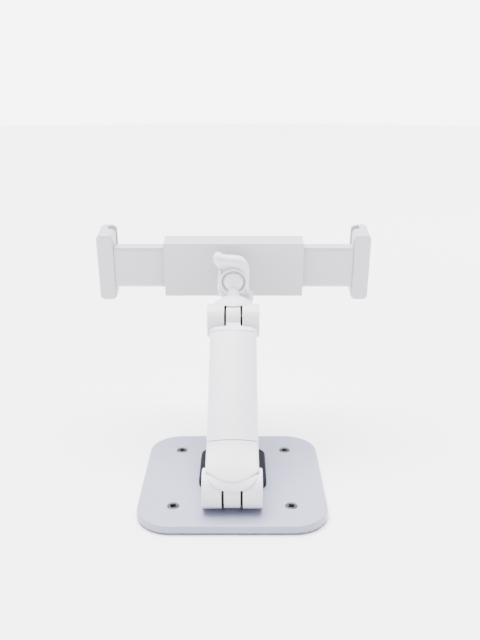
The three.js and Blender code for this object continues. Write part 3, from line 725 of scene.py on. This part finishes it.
def sheet_solid(columns):
    """A closed body from a grid of (outer, inner) points; columns run across the stand."""
    bm = bmesh.new()
    outer = [[bm.verts.new(o) for o, _ in column] for column in columns]
    inner = [[bm.verts.new(i) for _, i in column] for column in columns]
    wide = len(columns)
    long = len(columns[0])
    for c in range(wide - 1):
        for r in range(long - 1):
            bm.faces.new((outer[c][r], outer[c][r + 1], outer[c + 1][r + 1], outer[c + 1][r]))
            bm.faces.new((inner[c][r], inner[c + 1][r], inner[c + 1][r + 1], inner[c][r + 1]))
    for c in (0, wide - 1):
        for r in range(long - 1):
            bm.faces.new((outer[c][r], inner[c][r], inner[c][r + 1], outer[c][r + 1]))
    for r in (0, long - 1):
        for c in range(wide - 1):
            bm.faces.new((outer[c][r], outer[c + 1][r], inner[c + 1][r], inner[c][r]))
    return to_object("sheet", bm)


def smoothstep(t):
    t = max(0.0, min(1.0, t))
    return t * t * (3 - 2 * t)


def round_hinge(x, radius, angle):
    return (x, radius * math.cos(angle), radius * math.sin(angle))


def hood():
    """The hood over the lower hinge: it leaves the arm's bulged face and ends in a rounded edge."""
    rows = 40
    columns = []
    for x in across_arm(ARM_HALF, 60):
        share = abs(x) / ARM_HALF
        rim = HOOD_OUTER - 0.3 * share**2 - 4 * max(0, share - 0.88)
        end = HOOD_TIP + HOOD_RISE * share**2.1
        column = []
        for row in range(rows + 1):
            along = HOOD_START + (end - HOOD_START) * row / rows
            taper = 0.3 * smoothstep((row - (rows - 2)) / 2)
            if along >= 0:
                lift = smoothstep((LOWER_SEAM - along) / HOOD_RUN)
                top = crown(x) + (rim - taper - crown(x)) * lift
                low = max(math.sqrt(max(0, HOOD_INNER**2 - along * along)), HOOD_FLOOR)
                column.append(((x, along, top), (x, along, min(low, top - 0.3))))
            else:
                angle = math.pi / 2 - along / rim
                column.append((round_hinge(x, rim - taper, angle), round_hinge(x, HOOD_INNER, angle)))
        columns.append(column)
    return sheet_solid(columns)


def skirt():
    """A thinner lip that comes out from under the hood and covers the top of the knuckle's slots."""
    rows = 28
    columns = []
    for x in across_arm(SKIRT_HALF, 48):
        share = abs(x) / SKIRT_HALF
        end = SKIRT_END + SKIRT_REACH * math.sqrt(max(0.0, 1 - share**2))
        column = []
        for row in range(rows + 1):
            angle = math.radians(SKIRT_START + (end - SKIRT_START) * row / rows)
            outer = SKIRT_OUTER - 0.25 * smoothstep((row - (rows - 2)) / 2)
            column.append((round_hinge(x, outer, angle), round_hinge(x, SKIRT_INNER, angle)))
        columns.append(column)
    return sheet_solid(columns)


def arm_tube():
    tube = arm_block(0, LOWER_SEAM + LOWER_GAP, UPPER_SEAM - UPPER_GAP, 0.3)
    cut(tube, arm_block(ARM_WALL, LOWER_SEAM - 1, UPPER_SEAM + 1))
    for y in (LOWER_SEAM + SCREW_INSET, UPPER_SEAM - SCREW_INSET):
        screw_holes(tube, y, 1.9, -20, 0)
    return tube


def hinge_room():
    """The room that an arm's cap leaves for a barrel."""
    return rod("x", ROOM_RADIUS, -20, 20, sides=128)


def lower_cap():
    """Drawn from the lower hinge's axis: the end of the arm, its hood and skirt, tongue and spigot."""
    cap = arm_block(0, 6, LOWER_SEAM - LOWER_GAP, 0.3)
    cut(cap, hinge_room(), block(-20, 20, -20, 12, -30, 6))
    join(cap, hood(), skirt(), tongue(0, 26), spigot(LOWER_SEAM - 2, LOWER_SEAM + 10))
    cut(cap, rod("x", BOLT_BORE, -20, 20, sides=48))
    return screw_holes(cap, LOWER_SEAM + SCREW_INSET, 1.5, -20, ARM_UNDER + 9)


def upper_cap():
    """Drawn from the upper hinge's axis: a block that slopes to an arched end, its tongue and spigot."""
    start = UPPER_GAP - UPPER_CAP
    slope = [(start - 1, ARM_CROWN + 0.3), (-8, 8.4), (0, 8.4), (0, 30), (start - 1, 30)]
    arch = [(x, -11.3 - 3.2 * (x / ARM_HALF) ** 2) for x in range(20, -21, -1)]
    cap = arm_block(0, start, -7, 0.3)
    cut(cap, prism(slope, -20, 20, axis="x"), hinge_room(), prism(arch + [(-20, 0), (20, 0)], -12, 16))
    rounded(cap, 0.5, 3)
    join(cap, tongue(start + 4, 0), spigot(start - 10, start + 2))
    cut(cap, rod("x", BOLT_BORE, -20, 20, sides=48))
    return screw_holes(cap, start - SCREW_INSET, 1.5, -20, ARM_UNDER + 9)


piece("arm_shell", arm_tube(), ARM_FRAME, "arm", "arm_coat", "arm_tube")
piece("arm_lower_cap", lower_cap(), ARM_FRAME, "arm", "white_plastic", "arm_lower_end", smooth=30)
piece("arm_upper_cap", upper_cap(), ARM_TOP_FRAME, "arm", "white_plastic", "arm_upper_end", smooth=30)
for end, y in (("lower", LOWER_SEAM + SCREW_INSET), ("upper", UPPER_SEAM - SCREW_INSET)):
    for side, sign in SIDES:
        spot = Matrix.Translation((sign * PAIR_REACH, y, ARM_UNDER - 0.1)) @ Matrix.Rotation(math.pi, 4, "X")
        screw = moved(pan_screw(length=7, shank=1.3, head=2.9, rise=1.5), spot)
        piece(f"arm_screw_{end}_{side}_pan", screw, ARM_FRAME, "arm", "steel", f"arm_screw_{end}_{side}")


# ---------- head ----------
DOME_HALF = BARREL_HALF - 0.3
DOME_DEPTH = 12.6
DOME_FULLNESS = 0.72  # 1 is an ellipse; less keeps the faces near flat and turns them over at the rim
STEM_FOOT = 16
NECK_RADIUS = 4.2


def whole_dome():
    """The rounded body of the head between the barrel's rims, deepest in its middle."""
    bm = bmesh.new()
    bmesh.ops.create_uvsphere(bm, u_segments=96, v_segments=48, radius=1)
    for vertex in bm.verts:
        depth = vertex.co.z
        vertex.co.z = math.copysign(abs(depth) ** DOME_FULLNESS, depth)
        vertex.co.x *= DOME_HALF
        vertex.co.y *= BARREL_HALF
        vertex.co.z *= DOME_DEPTH
    return to_object("dome", bm)


def head_yoke():
    lower_half = block(-30, 30, -30, 0, -30, 30)
    yoke = join(barrel(), cut(whole_dome(), lower_half))
    cut(yoke, *barrel_tools(), rod("y", 3.3, 5, 30, sides=48))
    return rounded(yoke, 0.3)


def ball_stud():
    """A flared neck that stands on the dome, with the ball at its end and a shank in the yoke."""
    neck_angle = math.asin(NECK_RADIUS / BALL_RADIUS)
    neck_end = STEM_LENGTH - BALL_RADIUS * math.cos(neck_angle)
    flare = [(6, STEM_FOOT), (5.5, 21.5), (4.3, 25.6), (4.15, neck_end)]
    profile = [(0, STEM_FOOT)] + soften(flare, 2.5, 6, False)
    steps = 40
    for step in range(1, steps):
        angle = neck_angle + (math.pi - neck_angle) * step / steps
        profile.append((BALL_RADIUS * math.sin(angle), STEM_LENGTH - BALL_RADIUS * math.cos(angle)))
    profile.append((0, STEM_LENGTH + BALL_RADIUS))
    stud = cut(lathe(profile), moved(whole_dome(), Matrix.Scale(1.004, 4)))
    return join(stud, rod("y", 3, 14.8, 23, 0.3, sides=64))


piece("head_yoke_moulding", head_yoke(), HEAD_FRAME, "head", "white_plastic", "head_yoke")
piece("ball_stud_moulding", ball_stud(), HEAD_FRAME, "head", "white_plastic", "ball_stud", smooth=50)


# ---------- ball socket and its wing nut ----------
LINER_INNER = 8.7
CUP_INNER = 9.5
CUP_WALL = 0.5
CAVITY = 10.3
THREAD_RADIUS = 11.3
BOSS_RADIUS = 12.8
NUT_OPENING = 9.5
HOUSING_BACK = 19.7


def cup(inner, open_angle):
    """A shell round the ball, open at the ball's stem within the given angle from its axis."""
    steps = 32
    start = math.radians(open_angle)
    outer = inner + CUP_WALL
    outside = []
    inside = []
    for step in range(steps):
        angle = start + (math.pi - start) * step / steps
        outside.append((outer * math.sin(angle), -outer * math.cos(angle)))
        inside.append((inner * math.sin(angle), -inner * math.cos(angle)))
    return lathe(outside + [(0, outer), (0, inner)] + inside[::-1])


def socket_housing():
    """The threaded collar and the wider boss behind it, with the room that the ball turns in."""
    profile = [(0, 0.4), (THREAD_RADIUS - 0.3, 0.4), (THREAD_RADIUS, 0.8), (THREAD_RADIUS, 10.4)]
    profile += [(BOSS_RADIUS - 0.4, 10.4), (BOSS_RADIUS, 10.8), (BOSS_RADIUS, HOUSING_BACK - 0.4)]
    profile += [(BOSS_RADIUS - 0.4, HOUSING_BACK), (0, HOUSING_BACK)]
    steps = 48
    room = [(0, -CAVITY)]
    for step in range(1, steps):
        angle = math.pi * step / steps
        room.append((CAVITY * math.sin(angle), -CAVITY * math.cos(angle)))
    room.append((0, CAVITY))
    mouth = rod("y", CAVITY, -5, 0.6)
    screw_bore = rod("y", 1.9, 13.5, 30, sides=48)
    return cut(lathe(profile), lathe(room), mouth, screw_bore)


def spline(points, steps, closed):
    """A smooth line through the points."""
    count = len(points)
    result = []
    for index in range(count if closed else count - 1):
        picks = [index + k for k in (-1, 0, 1, 2)]
        if closed:
            picks = [k % count for k in picks]
        else:
            picks = [min(max(k, 0), count - 1) for k in picks]
        p0, p1, p2, p3 = (Vector(points[k]) for k in picks)
        for step in range(steps):
            t = step / steps
            square_part = (2 * p0 - 5 * p1 + 4 * p2 - p3) * t**2
            cube_part = (3 * p1 - p0 - 3 * p2 + p3) * t**3
            result.append(tuple(0.5 * (2 * p1 + (p2 - p0) * t + square_part + cube_part)))
    if not closed:
        result.append(tuple(points[-1]))
    return result


# half of the wing nut's outline: from its right side over the top to the left tip; half a turn makes the rest
WING_HALF = [
    (12.2, -2), (12.3, 4), (12.4, 9), (11.6, 13.4), (9.2, 17.4), (5.2, 19.7), (0, 20.5), (-5, 20.6),
    (-8.6, 21.4), (-11.4, 23), (-14, 23), (-16.3, 20.8), (-17, 17.6), (-15.9, 14.4), (-13.6, 11.2),
    (-12.4, 7.5),
]
# the ridge on top of it, as (x, z, half width)
WING_RIDGE = [
    (11, -9, 1.2), (11, -3, 1.9), (11, 3, 2.4), (10.3, 9, 3.1), (7.6, 13.6, 4), (3, 16, 4.4), (-3, 16.8, 4.1),
    (-8.4, 17.6, 4.1), (-12.6, 18.6, 4.3),
]
RIDGE_MIDDLE = 2.6
RIDGE_DEPTH = 3.9


def wing_nut():
    """Two wings on a hub, joined with their ridges into one smooth skin, and then bored."""
    outline = spline(WING_HALF + [(-x, -y) for x, y in WING_HALF], 5, True)
    wings = prism(outline, 2.2, 8.6, 1.6, axis="y", steps=5)
    hub_profile = [(0, -2.6), (11.6, -2.6), (BOSS_RADIUS, 3), (BOSS_RADIUS, 9.8), (0, 9.8)]
    hub = lathe(soften(hub_profile, 1.4, 6, False))
    bm = bmesh.new()
    for obj in (wings, hub):
        bm.from_mesh(obj.data)
        bpy.data.objects.remove(obj)
    for turn in (1, -1):
        for x, z, half in spline(WING_RIDGE, 7, False):
            spot = Matrix.Translation((x * turn, RIDGE_MIDDLE, z * turn))
            stretch = Matrix.Diagonal((half, RIDGE_DEPTH, half, 1))
            bmesh.ops.create_icosphere(bm, subdivisions=3, radius=1, matrix=spot @ stretch)
    nut = to_object("nut", bm)
    remesh = nut.modifiers.new("one_skin", "REMESH")
    remesh.mode = "VOXEL"
    remesh.voxel_size = 0.42
    relax = nut.modifiers.new("relax", "SMOOTH")
    relax.factor = 0.5
    relax.iterations = 9
    apply_modifiers(nut)
    brim = NUT_OPENING + 1.1
    opening = [(0, -5), (brim, -5), (brim, -2.7), (NUT_OPENING + 0.4, -2.2), (NUT_OPENING, -1.6)]
    opening += [(NUT_OPENING, 0), (0, 0)]
    thread_room = rod("y", THREAD_RADIUS + 0.3, -1.4, 20)
    return cut(nut, lathe(opening), thread_room)


liner = cup(LINER_INNER, 74)
piece("ball_liner_shell", liner, HOLDER_FRAME, "ball_inner", "clamp_plastic", "ball_liner", smooth=50)
outer_cup = cup(CUP_INNER, 84)
piece("ball_cup_shell", outer_cup, HOLDER_FRAME, "ball_outer", "clamp_plastic", "ball_cup", smooth=50)
piece("socket_housing_moulding", socket_housing(), HOLDER_FRAME, "holder", "white_plastic", "socket_housing")
piece("wing_nut_moulding", wing_nut(), HOLDER_FRAME, "wing", "white_plastic", "wing_nut", smooth=45)


# ---------- sleeve of the clamp ----------
SLEEVE_WALL = 2
FRONT_PAD_HALF = 48
FRONT_PAD_RISE = 4.5
FRONT_PAD_TOP = 39.5
FRONT_PAD_HEIGHT = 15  # how far each front pad is above or below the middle
GROOVE_HALF = 0.35
RAIL_HALF = 57.5
RAIL_REAR = 22.3
RAIL_FRONT = 35.7
RAIL_LOW = 19.05
RAIL_HIGH = 22.45


def sleeve():
    section = rectangle(SLEEVE_REAR, SLEEVE_FRONT, -SLEEVE_RISE, SLEEVE_RISE, 0.7, 5)
    box = prism(section, -SLEEVE_HALF, SLEEVE_HALF, 0.45, axis="x", steps=3)
    rise = SLEEVE_RISE - SLEEVE_WALL
    inside = block(-61, 61, SLEEVE_REAR + SLEEVE_WALL, SLEEVE_FRONT - SLEEVE_WALL, -rise, rise)
    return cut(box, inside, rod("y", 2.3, 0, SLEEVE_REAR + 3, sides=48))


def front_pad(sign):
    """A pad for the tablet's back, with four grooves along it."""
    half = FRONT_PAD_HALF
    face = rectangle(-half, half, -FRONT_PAD_RISE, FRONT_PAD_RISE, 3, 10)
    pad = prism(face, SLEEVE_FRONT + 0.1, FRONT_PAD_TOP, 0.45, axis="y", edge_low=0)
    for z in (-2.4, -0.8, 0.8, 2.4):
        groove = rectangle(-half + 2, half - 2, z - GROOVE_HALF, z + GROOVE_HALF)
        cut(pad, prism(groove, FRONT_PAD_TOP - 0.3, 41, axis="y"))
    return moved(pad, Matrix.Translation((0, 0, FRONT_PAD_HEIGHT * sign)))


def guide_rail(sign):
    """The strip that the sliders run on, inside the sleeve's top or bottom wall."""
    low, high = sorted((sign * RAIL_LOW, sign * RAIL_HIGH))
    section = rectangle(RAIL_REAR, RAIL_FRONT, low, high, 0.5, 4)
    return prism(section, -RAIL_HALF, RAIL_HALF, 0.3, axis="x")


piece("sleeve_extrusion", sleeve(), HOLDER_FRAME, "holder", "clamp_plastic", "sleeve")
for level, sign in LEVELS:
    name = f"front_pad_{level}"
    piece(f"{name}_ribbed", front_pad(sign), HOLDER_FRAME, "holder", "rubber", name)
    name = f"guide_rail_{level}"
    piece(f"{name}_strip", guide_rail(sign), HOLDER_FRAME, "holder", "dark_plastic", name)


# ---------- clamp arms ----------
SLIDER_REAR = 24.8
SLIDER_FRONT = 35.2
SLIDER_RISE = 18.75
SLIDER_INNER = 47
SLIDER_OUTER = 110
RACK_REAR = 27.6
RACK_FRONT = 32.4
RACK_TIP = 10
RACK_TOP = 15.45
CAVITY_RISE = 15.75
PITCH = math.pi  # of a module 1 rack
PITCH_LINE = 7.55
TOOTH_LOW = 5.7
TOOTH_COUNT = 18
GRIP_OUTER = 117
GRIP_INNER = 102.5
GRIP_REAR = 23.6
GRIP_FRONT = 51
GRIP_RISE = 30.5
GRIP_PLAY = 0.3
TABLET_EDGE = 107.5
TABLET_REAR = 39.9
TABLET_FRONT = 47.1


def slider(first_tooth):
    """A box section with broad chamfers on its rear edges, and the rack that runs from its inner end."""
    rise = SLIDER_RISE
    chamfer_end = SLIDER_REAR + 1.1
    upper = [(SLIDER_FRONT, rise - 1), (SLIDER_FRONT - 1, rise)]
    upper += [(chamfer_end, rise), (SLIDER_REAR, rise - 2.6)]
    outline = [(SLIDER_FRONT, -rise + 1)] + upper + [(y, -z) for y, z in upper[:0:-1]]
    body = prism(soften(outline, 0.7), -SLIDER_OUTER, -SLIDER_INNER, 0.3, axis="x", steps=2)
    cut(body, block(-SLIDER_OUTER + 6, 0, RACK_REAR - 0.3, RACK_FRONT + 0.3, -CAVITY_RISE, CAVITY_RISE))
    rack_start = -SLIDER_INNER - 8
    rack = block(rack_start, RACK_TIP, RACK_REAR, RACK_FRONT, PITCH_LINE, RACK_TOP)
    root = block(rack_start, -SLIDER_INNER, RACK_REAR - 0.5, RACK_FRONT + 0.5, PITCH_LINE, CAVITY_RISE + 0.2)
    join(body, rack, root)
    last = first_tooth + math.floor((RACK_TIP - first_tooth - 1) / PITCH) * PITCH
    teeth = []
    for tooth in range(TOOTH_COUNT - 1, -1, -1):
        x = last - tooth * PITCH
        teeth += [(x - 0.85, PITCH_LINE), (x - 0.3, TOOTH_LOW), (x + 0.3, TOOTH_LOW), (x + 0.85, PITCH_LINE)]
    teeth += [(teeth[-1][0], PITCH_LINE + 1), (teeth[0][0], PITCH_LINE + 1)]
    return join(body, prism(teeth, RACK_REAR, RACK_FRONT, axis="y"))


def grip():
    """The hook at a slider's end, with a channel for the tablet's edge and a pocket for the slider."""
    face = rectangle(-GRIP_OUTER, -GRIP_INNER, -GRIP_RISE, GRIP_RISE, 4.2, 14)
    body = prism(face, GRIP_REAR, GRIP_FRONT, 1.6, axis="y", steps=6)
    channel = rectangle(-TABLET_EDGE - 1.8, 0, TABLET_REAR, TABLET_FRONT)
    half = SLIDER_RISE + GRIP_PLAY
    low = SLIDER_REAR - GRIP_PLAY
    high = SLIDER_FRONT + GRIP_PLAY
    pocket = block(-SLIDER_OUTER - GRIP_PLAY, 0, low, high, -half, half)
    return rounded(cut(body, prism(soften(channel, 0.8, keep=(1, 2)), -40, 40), pocket), 0.4, 3)


def grip_pad():
    """The rubber strip in a grip's channel, with grooves across it."""
    section = rectangle(-TABLET_EDGE - 1.5, -TABLET_EDGE - 0.1, TABLET_REAR + 0.3, TABLET_FRONT - 0.3, 0.3, 3)
    pad = prism(section, -25, 25, 0.4, steps=3)
    for z in range(-21, 22, 6):
        cut(pad, block(-TABLET_EDGE - 0.5, 0, TABLET_REAR, TABLET_FRONT, z - 0.4, z + 0.4))
    return pad


# both are drawn as the left arm; the right one is turned half round, and its teeth fall between
for side, turn, first_tooth in (("left", Matrix.Identity(4), PITCH / 2), ("right", HALF_TURN, 0)):
    matrix = HOLDER_FRAME @ turn
    body = f"{side}_arm"
    piece(f"{side}_slider_bar", slider(first_tooth), matrix, body, "clamp_plastic", f"{side}_slider")
    piece(f"{side}_grip_hook", grip(), matrix, body, "clamp_plastic", f"{side}_grip")
    piece(f"{side}_grip_pad_strip", grip_pad(), matrix, body, "rubber", f"{side}_grip_pad")

# ---------- CAD pieces that stay, each with its finish ----------
CARRIED = {"swivel_nut": "steel", "housing_screw": "steel", "pinion_axle": "steel", "pinion": "dark_plastic"}
for node, slot in CARRIED.items():
    obj = frame["nodes"][node]
    obj.data.materials.clear()
    obj.data.materials.append(LOOKS[slot])

# ---------- floor ----------
floor_bm = bmesh.new()
bmesh.ops.create_circle(floor_bm, cap_ends=True, segments=96, radius=6)
floor = to_object("studio_floor", floor_bm)
floor_look = bpy.data.materials.new("pale_floor")
floor_look.use_nodes = True
floor_shader = floor_look.node_tree.nodes["Principled BSDF"]
floor_shader.inputs["Base Color"].default_value = (0.97, 0.97, 0.97, 1)
floor_shader.inputs["Roughness"].default_value = 0.9
floor.data.materials.append(floor_look)
floor.location.z = -0.0002

# ---------- sky ----------
world = bpy.data.worlds.new("studio")
bpy.context.scene.world = world
world.use_nodes = True
sky = world.node_tree
backdrop = sky.nodes["Background"]
backdrop.inputs["Color"].default_value = (0.97, 0.98, 1.0, 1)
direction = sky.nodes.new("ShaderNodeTexCoord")
heading = sky.nodes.new("ShaderNodeSeparateXYZ")
link(sky, direction.outputs["Generated"], heading.inputs["Vector"])


def sky_band(axis, low, high, dim, bright):
    """Brightness that changes smoothly with how far a direction points along an axis."""
    band = sky.nodes.new("ShaderNodeMapRange")
    band.interpolation_type = "SMOOTHSTEP"
    band.inputs["From Min"].default_value = low
    band.inputs["From Max"].default_value = high
    band.inputs["To Min"].default_value = dim
    band.inputs["To Max"].default_value = bright
    link(sky, heading.outputs[axis], band.inputs["Value"])
    return band.outputs["Result"]


def sky_math(operation, first, second):
    node = sky.nodes.new("ShaderNodeMath")
    node.operation = operation
    link(sky, first, node.inputs[0])
    link(sky, second, node.inputs[1])
    return node.outputs["Value"]


# lit paper stands low all round, brightest where the stand faces, and the soft room adds to it everywhere
paper = sky_math("MULTIPLY", sky_band("Y", -1.0, 0.85, 2.2, 5.0), sky_band("Z", 0.12, 0.3, 1.0, 0.0))
brightness = sky_math("ADD", sky_band("Y", -0.6, 0.4, 0.5, 2.0), paper)
link(sky, brightness, backdrop.inputs["Strength"])


# ---------- lights and camera ----------
def aim(obj, way):
    """Turn a light so that it shines along the given direction."""
    obj.rotation_euler = Vector(way).to_track_quat("-Z", "Y").to_euler()


def area_light(name, location, size, power, color=(1, 1, 1)):
    """A square softbox that shines on the middle of the stand."""
    data = bpy.data.lights.new(name, "AREA")
    data.shape = "SQUARE"
    data.size = size
    data.energy = power
    data.color = color
    obj = bpy.data.objects.new(name, data)
    bpy.context.scene.collection.objects.link(obj)
    obj.location = location
    aim(obj, Vector((0, 0.03, 0.1)) - Vector(location))


area_light("rear_left", (-1.1, -0.5, 0.7), size=0.6, power=1.5, color=(1.0, 0.99, 0.98))
area_light("front_fill", (0.7, 1.1, 0.7), size=1.0, power=3)

# a sun as wide as a ceiling softbox, which lights the whole floor evenly
ceiling_data = bpy.data.lights.new("ceiling", "SUN")
ceiling_data.energy = 14.5
ceiling_data.angle = math.radians(50)
ceiling = bpy.data.objects.new("ceiling", ceiling_data)
bpy.context.scene.collection.objects.link(ceiling)
aim(ceiling, (0.1, -0.2, -1.0))

camera_data = bpy.data.cameras.new("photo_camera")
camera_data.lens = 41.906
camera_data.sensor_width = 36
camera_data.shift_y = -0.1125
camera = bpy.data.objects.new("photo_camera", camera_data)
bpy.context.scene.collection.objects.link(camera)
camera.location = (0.0054, -0.5158, 0.2924)
camera.rotation_euler = (math.radians(77.99), 0, 0)
bpy.context.scene.camera = camera
